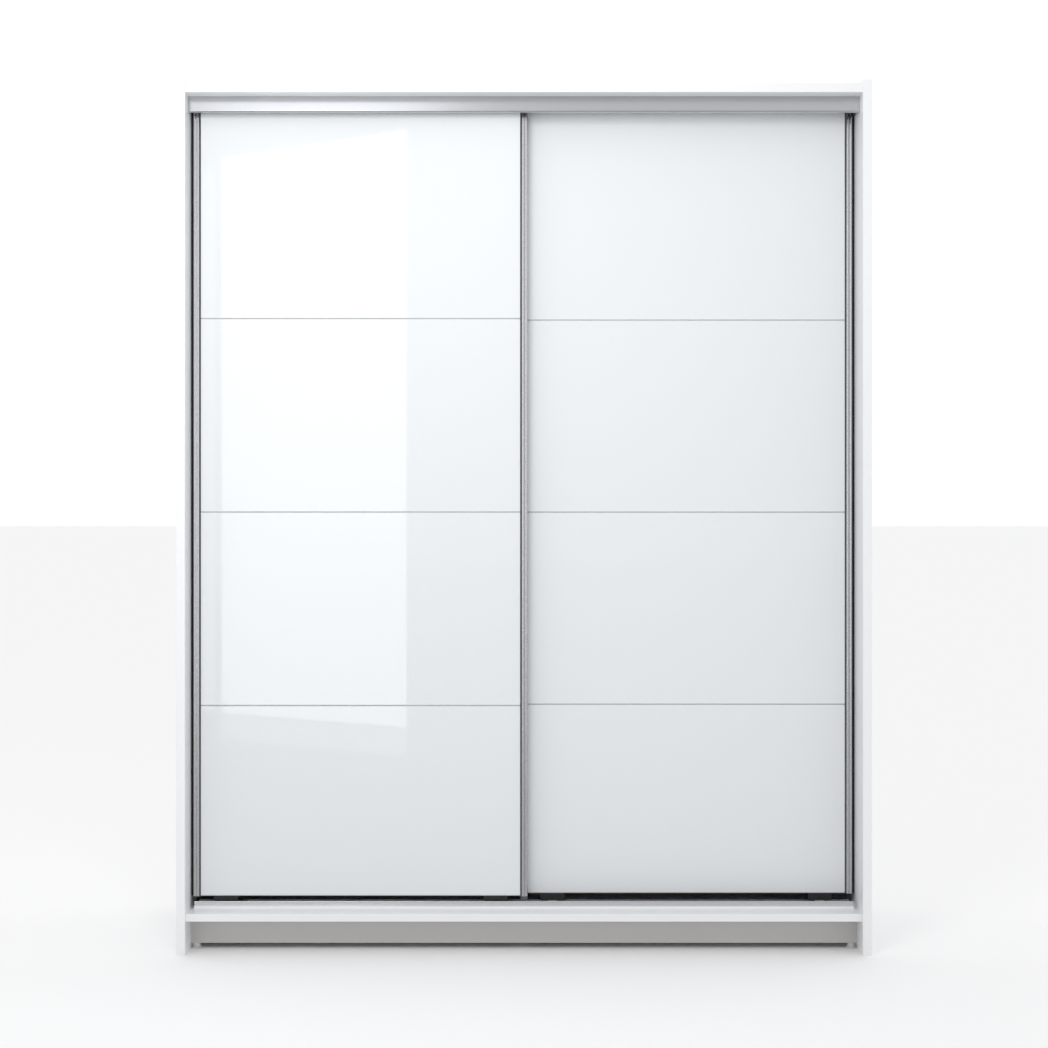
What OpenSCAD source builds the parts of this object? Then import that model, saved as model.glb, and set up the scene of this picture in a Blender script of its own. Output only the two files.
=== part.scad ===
// Two-door sliding wardrobe: glass-fronted doors that roll on a two-lane track in a white board carcass.
// Millimetres, +Z up, the front faces -Y. The origin is on the floor at the middle of the footprint.

/* [Carcass] */
// Width over the side panels
overall_w = 1700; // [1500:10:2000]
// Height of the side panels
overall_h = 2140; // [2000:10:2400]
// Depth from the front edges to the back
overall_d = 600; // [580:5:680]
// Thickness of the side panels
side_t = 22; // [18:1:28]
// Thickness of the top panel
top_t = 22; // [18:1:28]
// Thickness of the bottom panel
bottom_t = 19; // [18:1:25]
// Thickness of the hardboard back
back_t = 3; // [2.5:0.5:5]
// How far the side panels stand above the top panel
top_drop = 9; // [5:1:30]
// How far the bottom panel's front edge stands back
bottom_setback = 12; // [0:1:30]

/* [Plinth] */
// Height of the bottom panel's underside above the floor
plinth_top = 80; // [60:5:120]
// Thickness of the plinth boards
plinth_t = 16; // [16:1:22]
// How far the front plinth board stands back
plinth_setback = 80; // [60:5:120]
// Height of the floor glides under the plinth
glide_h = 13; // [10:1:20]
// Diameter of the floor glides
glide_d = 26; // [20:1:30]

/* [Interior] */
// Thickness of the centre partition and the shelves
shelf_t = 18; // [16:1:22]
// Height of the hat shelf's underside
hat_shelf_z = 1750; // [1600:10:1800]
// Diameter of the hanging rail
rail_d = 25; // [20:1:30]
// Drop from the hat shelf to the middle of the hanging rail
rail_drop = 60; // [55:5:80]

/* [Doors] */
// How far the front door's face stands behind the carcass front
door_setback = 73; // [68:1:90]
// Distance between the two door lanes, front to back
lane_pitch = 34; // [34:1:38]
// Overlap of the two closed doors
door_overlap = 18; // [16:1:40]
// Gap between a closed door and its side panel
side_gap = 7; // [6:1:10]
// Width of a stile's face
stile_w = 15.5; // [15:0.5:18]
// Depth of a stile, front to back
stile_d = 27; // [27:0.5:28]
// Height of a door's lowest glass pane
low_pane_h = 473; // [440:1:490]
// Distance between the seams of the four panes
seam_pitch = 480.5; // [440:0.5:490]
// Gap between two panes
pane_gap = 2.4; // [1.5:0.1:4]

/* [Rollers] */
// Radius at the bottom of a wheel's groove
tread_r = 12; // [11.5:0.1:12.4]
// Distance from a door's side edge to the middle of its roller
roller_inset = 80; // [60:5:150]

/* [Hidden] */
$fn = 48;
eps = 0.01;
fit = 0.1;

// Carcass planes
half_w = overall_w / 2;
inner_x = half_w - side_t;
front_y = -overall_d / 2;
back_y = overall_d / 2;
back_face_y = back_y - back_t;
floor_z = plinth_top + bottom_t;
top_z = overall_h - top_drop;
ceiling_z = top_z - top_t;
rebate_w = 10;
board_gap = 0.5;
band_r = 1.2;

// Door lanes: a lane's y is the front face of its door
door_w = (2 * inner_x - 2 * side_gap + door_overlap) / 2;
door_x = inner_x - side_gap;
front_lane_y = front_y + door_setback;
rear_lane_y = front_lane_y + lane_pitch;
door_z = floor_z + 31;
door_top_z = ceiling_z - 24;
door_h = door_top_z - door_z;

// Stile section, measured from the door's outer edge and from its face
wall_t = 1.5;
bead_r = stile_w / 4;
groove_d = 2.2;
lip_t = 3.2;
channel_x = 8;
glass_y = 4;
glass_t = 4;
board_y = glass_y + glass_t;
board_t = 8;
pane_edge = 9;
pane_lift = 2;
stile_cell_x = channel_x - wall_t;
stile_cell_y = 5;
stile_rear_cell_y = board_y + board_t + 1.9;
gasket_w = 3;
brush_depth = 6;

// Door rails, behind the glass
rail_back_y = stile_d - 2;
rail_h = 40;
rail_web_z = 19;
rail_web_t = 2;
port_r = 3.5;
port_y = rail_back_y - wall_t - port_r + 0.2;
bottom_port_z = door_z + 30;
top_port_z = door_top_z - 20;
frame_screw_l = 27;

// Rollers and guides
lane_y = board_y + (rail_back_y - board_y) / 2;
track_base_t = 1.8;
ridge_w = 3;
ridge_top_z = floor_z + 6;
wheel_clear = 0.3;
axle_z = ridge_top_z + wheel_clear + tread_r;
flange_r = tread_r + 2;
wheel_w = 6;
slot_w = 7;
housing_w = 13;
housing_l = 60;
housing_z = axle_z - 5.8;
housing_top_z = door_z + rail_web_z - 0.3;
axle_r = 2.5;
guide_l = 50;
guide_plate_t = 3;
guide_clear = 0.5;

// Tracks
track_wall_t = 1.6;
track_x = inner_x - 0.5;
floor_track_x = inner_x - 10;
track_z = ceiling_z - 26;
stop_z = ceiling_z - 34;
track_web_t = 2;
lane_mid = stile_d / 2;
front_lip_y = front_lane_y - 1;
front_lip_h = 19;
foot_d = 6;
foot_h = 6.8;
foot_edge_h = 0.8;
groove_t = 0.9;
groove_h = 2.8;
lip_r = 1;
rear_lip_h = 9;
rear_lip_y = rear_lane_y + stile_d + 11;
stop_t = side_gap - 1;
fascia_y = front_y + 43;
fascia_h = 40.5;
fascia_r = 5;
fascia_lean = 1.8;
fascia_flange = 22;

// Interior
interior_front_y = rear_lane_y + stile_d + 16;
shelf_front_y = interior_front_y + 10;
partition_x = shelf_t / 2;
shelf_pitch = (ceiling_z - floor_z) / 4;
shelf_zs = [for (i = [1:3]) floor_z + i * shelf_pitch - shelf_t / 2];
pin_r = 2.5;
pin_l = 16;
pin_depth = 8;
pin_ys = [shelf_front_y + 50, back_face_y - 60];
hole_step = 32;
hang_z = hat_shelf_z - rail_drop;
hang_y = (shelf_front_y + back_face_y) / 2;
tube_t = 1.5;
cup_t = 2.5;
cup_l = 10;
plate_t = 2;
plate_w = 34;
plate_h = 60;
plate_screw_z = 20;

// Fasteners
screw_r = 2;
screw_l = 16;
screw_head_r = 3.6;
screw_head_h = 2;
nail_r = 1.5;
nail_head_r = 3;
nail_head_h = 1.2;
nail_l = 14;
cam_r = 7.5;
cam_h = 12.5;
cam_inset = 34;
bolt_r = 3;
bolt_grip = 10;
cam_ys = [front_y + 60, back_y - 60];
partition_cam_ys = [interior_front_y + 50, back_y - 80];

// Wall brackets
bracket_x = inner_x - 78;
bracket_w = 30;
bracket_leg = 40;
bracket_t = 2;
wall_hole_r = 3;
wall_hole_z = ceiling_z - 25;
bracket_screw_y = back_face_y - 27;

// Plinth
plinth_y = front_y + plinth_setback;
rear_plinth_y = back_y - 30;
glide_x = inner_x - 14;
glide_ys = [plinth_y + plinth_t / 2, rear_plinth_y + plinth_t / 2];
glide_places = [
    for (x = [-glide_x, glide_x], y = glide_ys) [x, y, 0],
    [0, (glide_ys[0] + glide_ys[1]) / 2, 0]
];
glide_bore_h = 5;
glide_foot_h = 4;

// Screw positions along the tracks
track_screw_xs = [for (i = [-2:2]) i * (inner_x - 100) / 2];
top_track_screw_y = front_lane_y + lane_mid;
bottom_track_screw_y = (front_lane_y + rear_lane_y) / 2 + lane_y;
fascia_screw_y = fascia_y + 13;

// Nail positions round the back
nail_top_z = top_z - top_t / 2;
nail_bottom_z = plinth_top + bottom_t / 2;
nail_side_x = inner_x + rebate_w / 2;
nail_mid_x = partition_x / 2;
nail_xs = [for (i = [1:5]) partition_x + i * (inner_x - partition_x) / 6];
nail_zs = [for (i = [1:6]) nail_bottom_z + i * (nail_top_z - nail_bottom_z) / 7];

// A block between two opposite corners
module block(low, high) {
    translate(low) cube(high - low);
}

// Section of a board whose front edge band has rounded corners: u runs from front to back, v through it
module banded_section(front, back, t) {
    translate([front + band_r, 0]) square([back - front - band_r, t]);
    translate([front, band_r]) square([band_r + eps, t - 2 * band_r]);
    for (v = [band_r, t - band_r]) translate([front + band_r, v]) circle(band_r);
}

// Boards between two opposite corners, standing or lying, with the banded edge towards -Y
module standing_board(low, high) {
    translate([low[0], 0, low[2]]) linear_extrude(height = high[2] - low[2])
        mirror([1, -1, 0]) banded_section(low[1], high[1], high[0] - low[0]);
}

module lying_board(low, high) {
    translate([low[0], 0, low[2]]) rotate([90, 0, 90]) linear_extrude(height = high[0] - low[0])
        banded_section(low[1], high[1], high[2] - low[2]);
}

// A rod along +X, +Y or +Z from a point
module rod_x(start, r, length) {
    translate(start) rotate([0, 90, 0]) cylinder(r = r, h = length);
}

module rod_y(start, r, length) {
    translate(start) rotate([-90, 0, 0]) cylinder(r = r, h = length);
}

module rod_z(start, r, length) {
    translate(start) cylinder(r = r, h = length);
}

// ---------------------------------------------------------------- fasteners and their holes

// A board screw pointing up, its head's bearing face at the origin; grow opens it into its hole
module board_screw(grow = 0) {
    cylinder(r = screw_r + grow, h = screw_l + grow);
    translate([0, 0, -screw_head_h]) cylinder(r = screw_head_r + grow, h = screw_head_h);
}

// Places its child at every board screw of the carcass, pointing the way the screw is driven
module at_board_screws() {
    for (x = track_screw_xs) {
        translate([x, top_track_screw_y, ceiling_z - track_web_t]) children();
        translate([x, fascia_screw_y, ceiling_z - track_web_t]) children();
        translate([x, bottom_track_screw_y, floor_z + track_base_t]) rotate([180, 0, 0]) children();
    }
    for (place = glide_places) translate(place + [0, 0, glide_bore_h]) children();
    for (side = [-1, 1]) {
        translate([side * bracket_x, bracket_screw_y, ceiling_z - bracket_t]) children();
        for (dz = [-plate_screw_z, plate_screw_z]) {
            at_rail_end(side) translate([0, 0, dz]) rotate([0, side * 90, 0])
                translate([0, 0, -plate_t]) children();
        }
    }
}

// Places its child where the hanging rail meets the side panel (side -1) or the partition (side 1)
module at_rail_end(side) {
    translate([side < 0 ? -inner_x : -partition_x, hang_y, hang_z]) children();
}

// Shanks only, which the boards are drilled for
module board_screw_holes() {
    at_board_screws() cylinder(r = screw_r + fit, h = screw_l + 1);
}

// Places its child at every back panel nail, pointing in from the back face
module at_nails() {
    for (s = [-1, 1]) {
        for (x = nail_xs, z = [nail_bottom_z, nail_top_z]) translate([s * x, back_y, z]) children();
        for (x = [nail_mid_x, nail_side_x], z = nail_zs) translate([s * x, back_y, z]) children();
    }
}

module nail(grow = 0) {
    rotate([90, 0, 0]) {
        cylinder(r = nail_head_r + grow, h = nail_head_h + grow);
        cylinder(r = nail_r + grow, h = nail_l + grow);
    }
}

// A cam and its bolt in a board's end: the board's edge is at x = 0 and the cam is bored from z = 0 up
module cam_set(mid, grow = 0) {
    translate([-cam_inset, 0, -grow]) cylinder(r = cam_r + grow, h = cam_h + 2 * grow);
    bolt_l = cam_inset - cam_r - fit + bolt_grip;
    rod_x([bolt_grip - bolt_l - grow, 0, mid], bolt_r + grow, bolt_l + 2 * grow);
}

// Every cam of the carcass: in the top panel's upper face, the bottom panel's underside and the partition
module all_cam_sets(grow = 0) {
    for (side = [0, 1], y = cam_ys) mirror([side, 0, 0]) {
        translate([inner_x, y, plinth_top]) cam_set(bottom_t / 2, grow);
        translate([inner_x, y, top_z]) mirror([0, 0, 1]) cam_set(top_t / 2, grow);
    }
    for (y = partition_cam_ys) {
        translate([partition_x, y, ceiling_z]) rotate([0, -90, 0]) cam_set(shelf_t / 2, grow);
        translate([partition_x, y, floor_z]) mirror([0, 0, 1]) rotate([0, -90, 0]) cam_set(shelf_t / 2, grow);
    }
}

// Support pins of one shelf whose underside is at z, between the faces at x_low and x_high
module pins_of_shelf(z, x_low, x_high, r, length, inside) {
    for (y = pin_ys) {
        rod_x([x_low - pin_depth, y, z - pin_r], r, length);
        rod_x([x_high + pin_depth - length, y, z - pin_r], r, length);
    }
}

// Pin holes, with a spare hole above and below each pin
module shelf_pin_holes() {
    for (k = [-1:1]) {
        pins_of_shelf(hat_shelf_z + k * hole_step, -inner_x, -partition_x, pin_r + fit, pin_depth + eps);
        for (z = shelf_zs)
            pins_of_shelf(z + k * hole_step, partition_x, inner_x, pin_r + fit, pin_depth + eps);
    }
}

// ---------------------------------------------------------------- carcass

// Side panel, rebated along its back inner edge for the hardboard
module side_panel(side) {
    color("white") difference() {
        mirror([side < 0 ? 1 : 0, 0, 0]) difference() {
            standing_board([inner_x, front_y, 0], [half_w, back_y, overall_h]);
            block([inner_x - 1, back_face_y, -1], [inner_x + rebate_w, back_y + 1, overall_h + 1]);
        }
        board_screw_holes();
        shelf_pin_holes();
        all_cam_sets(fit);
        at_nails() nail(fit);
    }
}

module top_panel() {
    color("whitesmoke") difference() {
        lying_board([-inner_x, front_y, ceiling_z], [inner_x, back_face_y, top_z]);
        board_screw_holes();
        all_cam_sets(fit);
        at_nails() nail(fit);
    }
}

module bottom_panel() {
    color("whitesmoke") difference() {
        lying_board([-inner_x, front_y + bottom_setback, plinth_top], [inner_x, back_face_y, floor_z]);
        board_screw_holes();
        all_cam_sets(fit);
        at_nails() nail(fit);
    }
}

module centre_partition() {
    color("white") difference() {
        standing_board([-partition_x, interior_front_y, floor_z], [partition_x, back_face_y, ceiling_z]);
        board_screw_holes();
        shelf_pin_holes();
        all_cam_sets(fit);
        at_nails() nail(fit);
    }
}

// One half of the hardboard back, nailed to the board edges and drilled for the wall fixing
module back_panel(side) {
    color("snow") difference() {
        mirror([side < 0 ? 1 : 0, 0, 0])
            block([board_gap / 2, back_face_y, plinth_top + 1], [inner_x + rebate_w - 1, back_y, top_z - 1]);
        at_nails() nail(fit);
        rod_y([side * bracket_x, back_face_y - 1, wall_hole_z], wall_hole_r, back_t + 2);
    }
}

// A plinth board across the carcass
module plinth_board(y) {
    color("gainsboro") difference() {
        block([-inner_x, y, glide_h], [inner_x, y + plinth_t, plinth_top]);
        board_screw_holes();
    }
}

// Cross member under the partition, between the two plinth boards
module plinth_brace() {
    color("gainsboro") difference() {
        block([-partition_x, plinth_y + plinth_t, glide_h], [partition_x, rear_plinth_y, plinth_top]);
        board_screw_holes();
    }
}

// Round plastic glides with a flanged foot, counterbored for their screws
module floor_glides() {
    color("lightgrey") for (place = glide_places) translate(place) difference() {
        union() {
            cylinder(r1 = glide_d / 2 - 1, r2 = glide_d / 2, h = 1);
            translate([0, 0, 1]) cylinder(r = glide_d / 2, h = glide_foot_h - 1);
            cylinder(r = glide_d / 2 - 4, h = glide_h);
        }
        translate([0, 0, -1]) cylinder(r = screw_head_r + 1, h = glide_bore_h + 1);
        cylinder(r = screw_r + fit, h = glide_h + 1);
    }
}

// ---------------------------------------------------------------- tracks

// Three-walled channel under the top panel: one lane for each door
module top_track() {
    first_wall = front_lane_y + lane_mid - lane_pitch / 2 - track_wall_t / 2;
    color("silver") difference() {
        union() {
            block([-track_x, first_wall, ceiling_z - track_web_t],
                  [track_x, first_wall + 2 * lane_pitch + track_wall_t, ceiling_z]);
            for (i = [0:2])
                block([-track_x, first_wall + i * lane_pitch, track_z],
                      [track_x, first_wall + i * lane_pitch + track_wall_t, ceiling_z]);
        }
        board_screw_holes();
    }
}

// Trim profile in front of the top track: a leaning face, a rounded bottom edge and a fixing flange
module track_fascia() {
    low_z = ceiling_z - fascia_h;
    back_y = fascia_y + fascia_flange;
    color("silver") difference() {
        translate([-track_x, 0, 0]) rotate([90, 0, 90]) linear_extrude(height = 2 * track_x) polygon([
            [fascia_y + fascia_lean, ceiling_z],
            for (a = [180:15:270]) [fascia_y + fascia_r * (1 + cos(a)), low_z + fascia_r * (1 + sin(a))],
            [fascia_y + fascia_r + wall_t, low_z],
            [fascia_y + fascia_r + wall_t, low_z + wall_t],
            for (a = [270:-15:180])
                [fascia_y + fascia_r + (fascia_r - wall_t) * cos(a),
                 low_z + fascia_r + (fascia_r - wall_t) * sin(a)],
            [fascia_y + fascia_lean + wall_t, ceiling_z - track_web_t],
            [back_y, ceiling_z - track_web_t],
            [back_y, ceiling_z]
        ]);
        board_screw_holes();
    }
}

// Front lip of the floor track: a sloped foot, a drip groove and a rounded top, as depth and height
module floor_track_lip() {
    polygon([
        [track_base_t, 0], [-foot_d, 0], [-foot_d, foot_edge_h], [-groove_t, foot_h], [groove_t, foot_h],
        [groove_t, foot_h + groove_h], [0, foot_h + groove_h], [0, front_lip_h - lip_r],
        for (a = [150:-30:90]) [lip_r * (1 + cos(a)), front_lip_h - lip_r * (1 - sin(a))],
        [track_base_t, front_lip_h]
    ]);
}

// Floor track: a base plate with two round-topped ridges between the front lip and a low rear lip
module bottom_track() {
    color("silver") difference() {
        union() {
            block([-floor_track_x, front_lip_y, floor_z],
                  [floor_track_x, rear_lip_y, floor_z + track_base_t]);
            translate([-floor_track_x, front_lip_y, floor_z]) rotate([90, 0, 90])
                linear_extrude(height = 2 * floor_track_x) floor_track_lip();
            block([-floor_track_x, rear_lip_y - track_base_t, floor_z],
                  [floor_track_x, rear_lip_y, floor_z + rear_lip_h]);
            for (y = [front_lane_y + lane_y, rear_lane_y + lane_y]) {
                block([-floor_track_x, y - ridge_w / 2, floor_z],
                      [floor_track_x, y + ridge_w / 2, ridge_top_z - ridge_w / 2]);
                rod_x([-floor_track_x, y, ridge_top_z - ridge_w / 2], ridge_w / 2, 2 * floor_track_x);
            }
        }
        board_screw_holes();
    }
}

// Rubber blocks that close each lane of the top track at both ends
module door_stops() {
    lane_half = (lane_pitch - track_wall_t) / 2 - 0.3;
    color("dimgray") for (side = [0, 1], y = [front_lane_y, rear_lane_y]) mirror([side, 0, 0])
        block([inner_x - stop_t, y + lane_mid - lane_half, stop_z],
              [inner_x, y + lane_mid + lane_half, ceiling_z - track_web_t - 0.3 + eps]);
}

// ---------------------------------------------------------------- interior

// A loose shelf between two upright faces
module shelf(z, x_low, x_high) {
    color("white") lying_board([x_low + board_gap, shelf_front_y, z],
                               [x_high - board_gap, back_face_y - board_gap, z + shelf_t]);
}

module shelf_pins() {
    color("lightgrey") {
        pins_of_shelf(hat_shelf_z, -inner_x, -partition_x, pin_r, pin_l);
        for (z = shelf_zs) pins_of_shelf(z, partition_x, inner_x, pin_r, pin_l);
    }
}

// Round steel tube, held at each end by a cup
module hanging_rail() {
    start = -inner_x + plate_t + fit;
    length = inner_x - partition_x - 2 * (plate_t + fit);
    color("silver") difference() {
        rod_x([start, hang_y, hang_z], rail_d / 2, length);
        rod_x([start - 1, hang_y, hang_z], rail_d / 2 - tube_t, length + 2);
    }
}

// Screw plate and cup of one rail end; the plate's back is at x = 0 and the cup opens along +X
module rail_bracket() {
    difference() {
        union() {
            hull_r = plate_w / 2;
            for (dz = [-1, 1]) rod_x([0, 0, dz * (plate_h / 2 - hull_r)], hull_r, plate_t);
            block([0, -hull_r, -plate_h / 2 + hull_r], [plate_t, hull_r, plate_h / 2 - hull_r]);
            rod_x([0, 0, 0], rail_d / 2 + cup_t, cup_l);
        }
        rod_x([plate_t, 0, 0], rail_d / 2 + fit, cup_l);
    }
}

module rail_brackets() {
    color("silver") difference() {
        for (side = [-1, 1]) at_rail_end(side) mirror([side < 0 ? 0 : 1, 0, 0]) rail_bracket();
        board_screw_holes();
    }
}

// Angle brackets in the top back corners: one leg under the top panel, one on the hardboard
module wall_brackets() {
    color("silver") difference() {
        for (side = [-1, 1]) translate([side * bracket_x, 0, 0]) {
            block([-bracket_w / 2, back_face_y - bracket_leg, ceiling_z - bracket_t],
                  [bracket_w / 2, back_face_y, ceiling_z]);
            block([-bracket_w / 2, back_face_y - bracket_t, ceiling_z - bracket_leg],
                  [bracket_w / 2, back_face_y, ceiling_z]);
        }
        board_screw_holes();
        for (side = [-1, 1])
            rod_y([side * bracket_x, back_face_y - bracket_t - 1, wall_hole_z], wall_hole_r, bracket_t + 2);
    }
}

module cam_fittings() {
    color("silver") all_cam_sets();
}

module panel_screws() {
    color("silver") at_board_screws() board_screw();
}

module back_panel_nails() {
    color("silver") at_nails() nail();
}

// ---------------------------------------------------------------- doors
// A door is drawn with its outer edge at x = 0, its face at y = 0 and its inner edge at x = door_w.

module on_left_door() {
    translate([-door_x, front_lane_y, 0]) children();
}

module on_right_door() {
    translate([door_x, rear_lane_y, 0]) mirror([1, 0, 0]) children();
}

// Places its child at the outer edge, or turned round at the inner edge
module at_edge(inner) {
    translate([inner ? door_w : 0, 0, 0]) mirror([inner ? 1 : 0, 0, 0]) children();
}

// Two round beads with a groove between them, over a channel for the panes and two hollow cells
module stile_section() {
    difference() {
        union() {
            for (x = [bead_r, stile_w - bead_r]) translate([x, bead_r]) circle(bead_r);
            translate([bead_r, groove_d]) square([stile_w - 2 * bead_r, bead_r]);
            translate([0, bead_r]) square([stile_w, stile_d - bead_r]);
        }
        translate([channel_x, lip_t]) square([stile_w, board_y + board_t + 0.4 - lip_t]);
        translate([wall_t, stile_cell_y]) square([stile_cell_x - wall_t, stile_d - wall_t - stile_cell_y]);
        translate([channel_x, stile_rear_cell_y])
            square([stile_w - wall_t - channel_x, stile_d - wall_t - stile_rear_cell_y]);
    }
}

module stile(inner) {
    color("silver") at_edge(inner) difference() {
        translate([0, 0, door_z]) linear_extrude(height = door_h) stile_section();
        for (z = [bottom_port_z, top_port_z]) {
            rod_x([-1, port_y, z], screw_head_r + 0.3, wall_t + 1.5);
            rod_x([stile_cell_x - 0.5, port_y, z], screw_r + fit, stile_w - stile_cell_x + 1);
        }
    }
}

// A rail section running between the stiles: depth is y and height is z
module rail_bar(z, cells, port_z) {
    color("silver") difference() {
        union() {
            difference() {
                block([stile_w, board_y, z], [door_w - stile_w, rail_back_y, z + rail_h]);
                for (cell = cells)
                    block([0, board_y + wall_t, z + cell[0]], [door_w, rail_back_y - wall_t, z + cell[1]]);
            }
            rod_x([stile_w, port_y, port_z], port_r, door_w - 2 * stile_w);
        }
        rod_x([0, port_y, port_z], screw_r + fit, door_w);
    }
}

// Closed box section
module door_top_rail() {
    rail_bar(door_top_z - rail_h, [[wall_t, rail_h - wall_t]], top_port_z);
}

// Box section over a channel that is open below for the rollers
module door_bottom_rail() {
    rail_bar(door_z, [[-1, rail_web_z], [rail_web_z + rail_web_t, rail_h - wall_t]], bottom_port_z);
}

module backing_board() {
    color("whitesmoke")
        block([pane_edge, board_y, door_z + rail_h],
              [door_w - pane_edge, board_y + board_t, door_top_z - rail_h]);
}

// Pane number n, counted from the floor; the lowest one ends just above the stiles' feet
module glass_pane(n) {
    first_seam = door_z + low_pane_h;
    low = n == 1 ? door_z + pane_lift : first_seam + (n - 2) * seam_pitch + pane_gap / 2;
    high = n == 4 ? door_top_z : first_seam + (n - 1) * seam_pitch - pane_gap / 2;
    color("aliceblue") block([pane_edge, glass_y, low], [door_w - pane_edge, board_y, high]);
}

// Lip seals between the stiles' lips and the panes
module gaskets() {
    color("dimgray") for (inner = [false, true]) at_edge(inner)
        translate([0, 0, door_z]) linear_extrude(height = door_h) polygon([
            [channel_x + 2, lip_t], [stile_w, lip_t], [stile_w, glass_y - 2.4],
            [stile_w + gasket_w * 0.4, glass_y - 2.4], [stile_w + gasket_w, glass_y - 0.8],
            [stile_w + gasket_w, glass_y], [channel_x + 2, glass_y]
        ]);
}

// Pile strips: one towards the side panel and, on the front door, one towards the rear door
module brush_seals(interlock) {
    color("black") {
        block([1 - side_gap, 10, door_z], [0, 10 + brush_depth, stop_z - 6]);
        if (interlock)
            block([door_w - 12, stile_d, door_z], [door_w - 4, lane_pitch - 1.2, door_top_z - rail_h]);
    }
}

// Nylon guides on the top rail, wide enough to steady the door in its lane
module top_guides() {
    head_half = (lane_pitch - track_wall_t) / 2 - guide_clear;
    color("lightgrey") for (x = [roller_inset, door_w - roller_inset]) translate([x, 0, door_top_z]) {
        block([-guide_l / 2 - 5, lane_y - housing_w / 2, 0],
              [guide_l / 2 + 5, lane_y + housing_w / 2, guide_plate_t]);
        block([-guide_l / 2, lane_y - slot_w / 2, guide_plate_t - eps],
              [guide_l / 2, lane_y + slot_w / 2, 2 * guide_plate_t + eps]);
        block([-guide_l / 2, lane_mid - head_half, 2 * guide_plate_t],
              [guide_l / 2, lane_mid + head_half, 16]);
    }
}

// Forked nylon blocks in the bottom rail's open channel
module roller_housings() {
    roller_xs = [roller_inset, door_w - roller_inset];
    color("lightgrey") for (x = roller_xs) translate([x, lane_y, 0]) difference() {
        block([-housing_l / 2, -housing_w / 2, housing_z], [housing_l / 2, housing_w / 2, housing_top_z]);
        block([-flange_r - 2, -slot_w / 2, housing_z - 1], [flange_r + 2, slot_w / 2, axle_z + flange_r + 2]);
        rod_y([0, -housing_w, axle_z], axle_r + 0.02, 2 * housing_w);
    }
}

module roller_axles() {
    color("silver") for (x = [roller_inset, door_w - roller_inset])
        rod_y([x, lane_y - housing_w / 2, axle_z], axle_r, housing_w);
}

// Grooved wheel that straddles the ridge of its lane
module wheel(inner) {
    half = wheel_w / 2;
    color("ghostwhite") translate([inner ? door_w - roller_inset : roller_inset, lane_y, axle_z])
        rotate([90, 0, 0]) rotate_extrude() polygon([
            [axle_r + 0.05, -half], [flange_r - 0.4, -half], [flange_r, -half + 0.4], [flange_r, -2.3],
            [tread_r, -1.9], [tread_r, 1.9],
            [flange_r, 2.3], [flange_r, half - 0.4], [flange_r - 0.4, half], [axle_r + 0.05, half]
        ]);
}

// Self-tapping screws through the stiles into the rails' screw ports
module frame_screws() {
    color("silver") for (inner = [false, true], z = [bottom_port_z, top_port_z]) at_edge(inner) {
        rod_x([stile_cell_x, port_y, z], screw_r, frame_screw_l);
        rod_x([stile_cell_x - 2.5, port_y, z], screw_head_r, 2.5);
    }
}

side_panel(-1);  // side_panel_left
side_panel(1);  // side_panel_right
top_panel();
bottom_panel();
centre_partition();
back_panel(-1);  // back_panel_left
back_panel(1);  // back_panel_right
plinth_board(plinth_y);  // plinth_front
plinth_board(rear_plinth_y);  // plinth_rear
plinth_brace();
floor_glides();
top_track();
track_fascia();
bottom_track();
door_stops();
shelf(hat_shelf_z, -inner_x, -partition_x);  // hat_shelf
shelf(shelf_zs[0], partition_x, inner_x);  // shelf_lower
shelf(shelf_zs[1], partition_x, inner_x);  // shelf_middle
shelf(shelf_zs[2], partition_x, inner_x);  // shelf_upper
shelf_pins();
hanging_rail();
rail_brackets();
wall_brackets();
cam_fittings();
panel_screws();
back_panel_nails();

on_left_door() stile(false);  // door_left_outer_stile
on_left_door() stile(true);  // door_left_inner_stile
on_left_door() door_top_rail();  // door_left_top_rail
on_left_door() door_bottom_rail();  // door_left_bottom_rail
on_left_door() backing_board();  // door_left_backing_board
on_left_door() glass_pane(1);  // door_left_glass_1
on_left_door() glass_pane(2);  // door_left_glass_2
on_left_door() glass_pane(3);  // door_left_glass_3
on_left_door() glass_pane(4);  // door_left_glass_4
on_left_door() gaskets();  // door_left_gaskets
on_left_door() brush_seals(true);  // door_left_brush_seals
on_left_door() top_guides();  // door_left_top_guides
on_left_door() roller_housings();  // door_left_roller_housings
on_left_door() roller_axles();  // door_left_roller_axles
on_left_door() wheel(false);  // door_left_outer_wheel
on_left_door() wheel(true);  // door_left_inner_wheel
on_left_door() frame_screws();  // door_left_frame_screws

on_right_door() stile(false);  // door_right_outer_stile
on_right_door() stile(true);  // door_right_inner_stile
on_right_door() door_top_rail();  // door_right_top_rail
on_right_door() door_bottom_rail();  // door_right_bottom_rail
on_right_door() backing_board();  // door_right_backing_board
on_right_door() glass_pane(1);  // door_right_glass_1
on_right_door() glass_pane(2);  // door_right_glass_2
on_right_door() glass_pane(3);  // door_right_glass_3
on_right_door() glass_pane(4);  // door_right_glass_4
on_right_door() gaskets();  // door_right_gaskets
on_right_door() brush_seals(false);  // door_right_brush_seals
on_right_door() top_guides();  // door_right_top_guides
on_right_door() roller_housings();  // door_right_roller_housings
on_right_door() roller_axles();  // door_right_roller_axles
on_right_door() wheel(false);  // door_right_outer_wheel
on_right_door() wheel(true);  // door_right_inner_wheel
on_right_door() frame_screws();  // door_right_frame_screws
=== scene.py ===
import math

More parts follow.
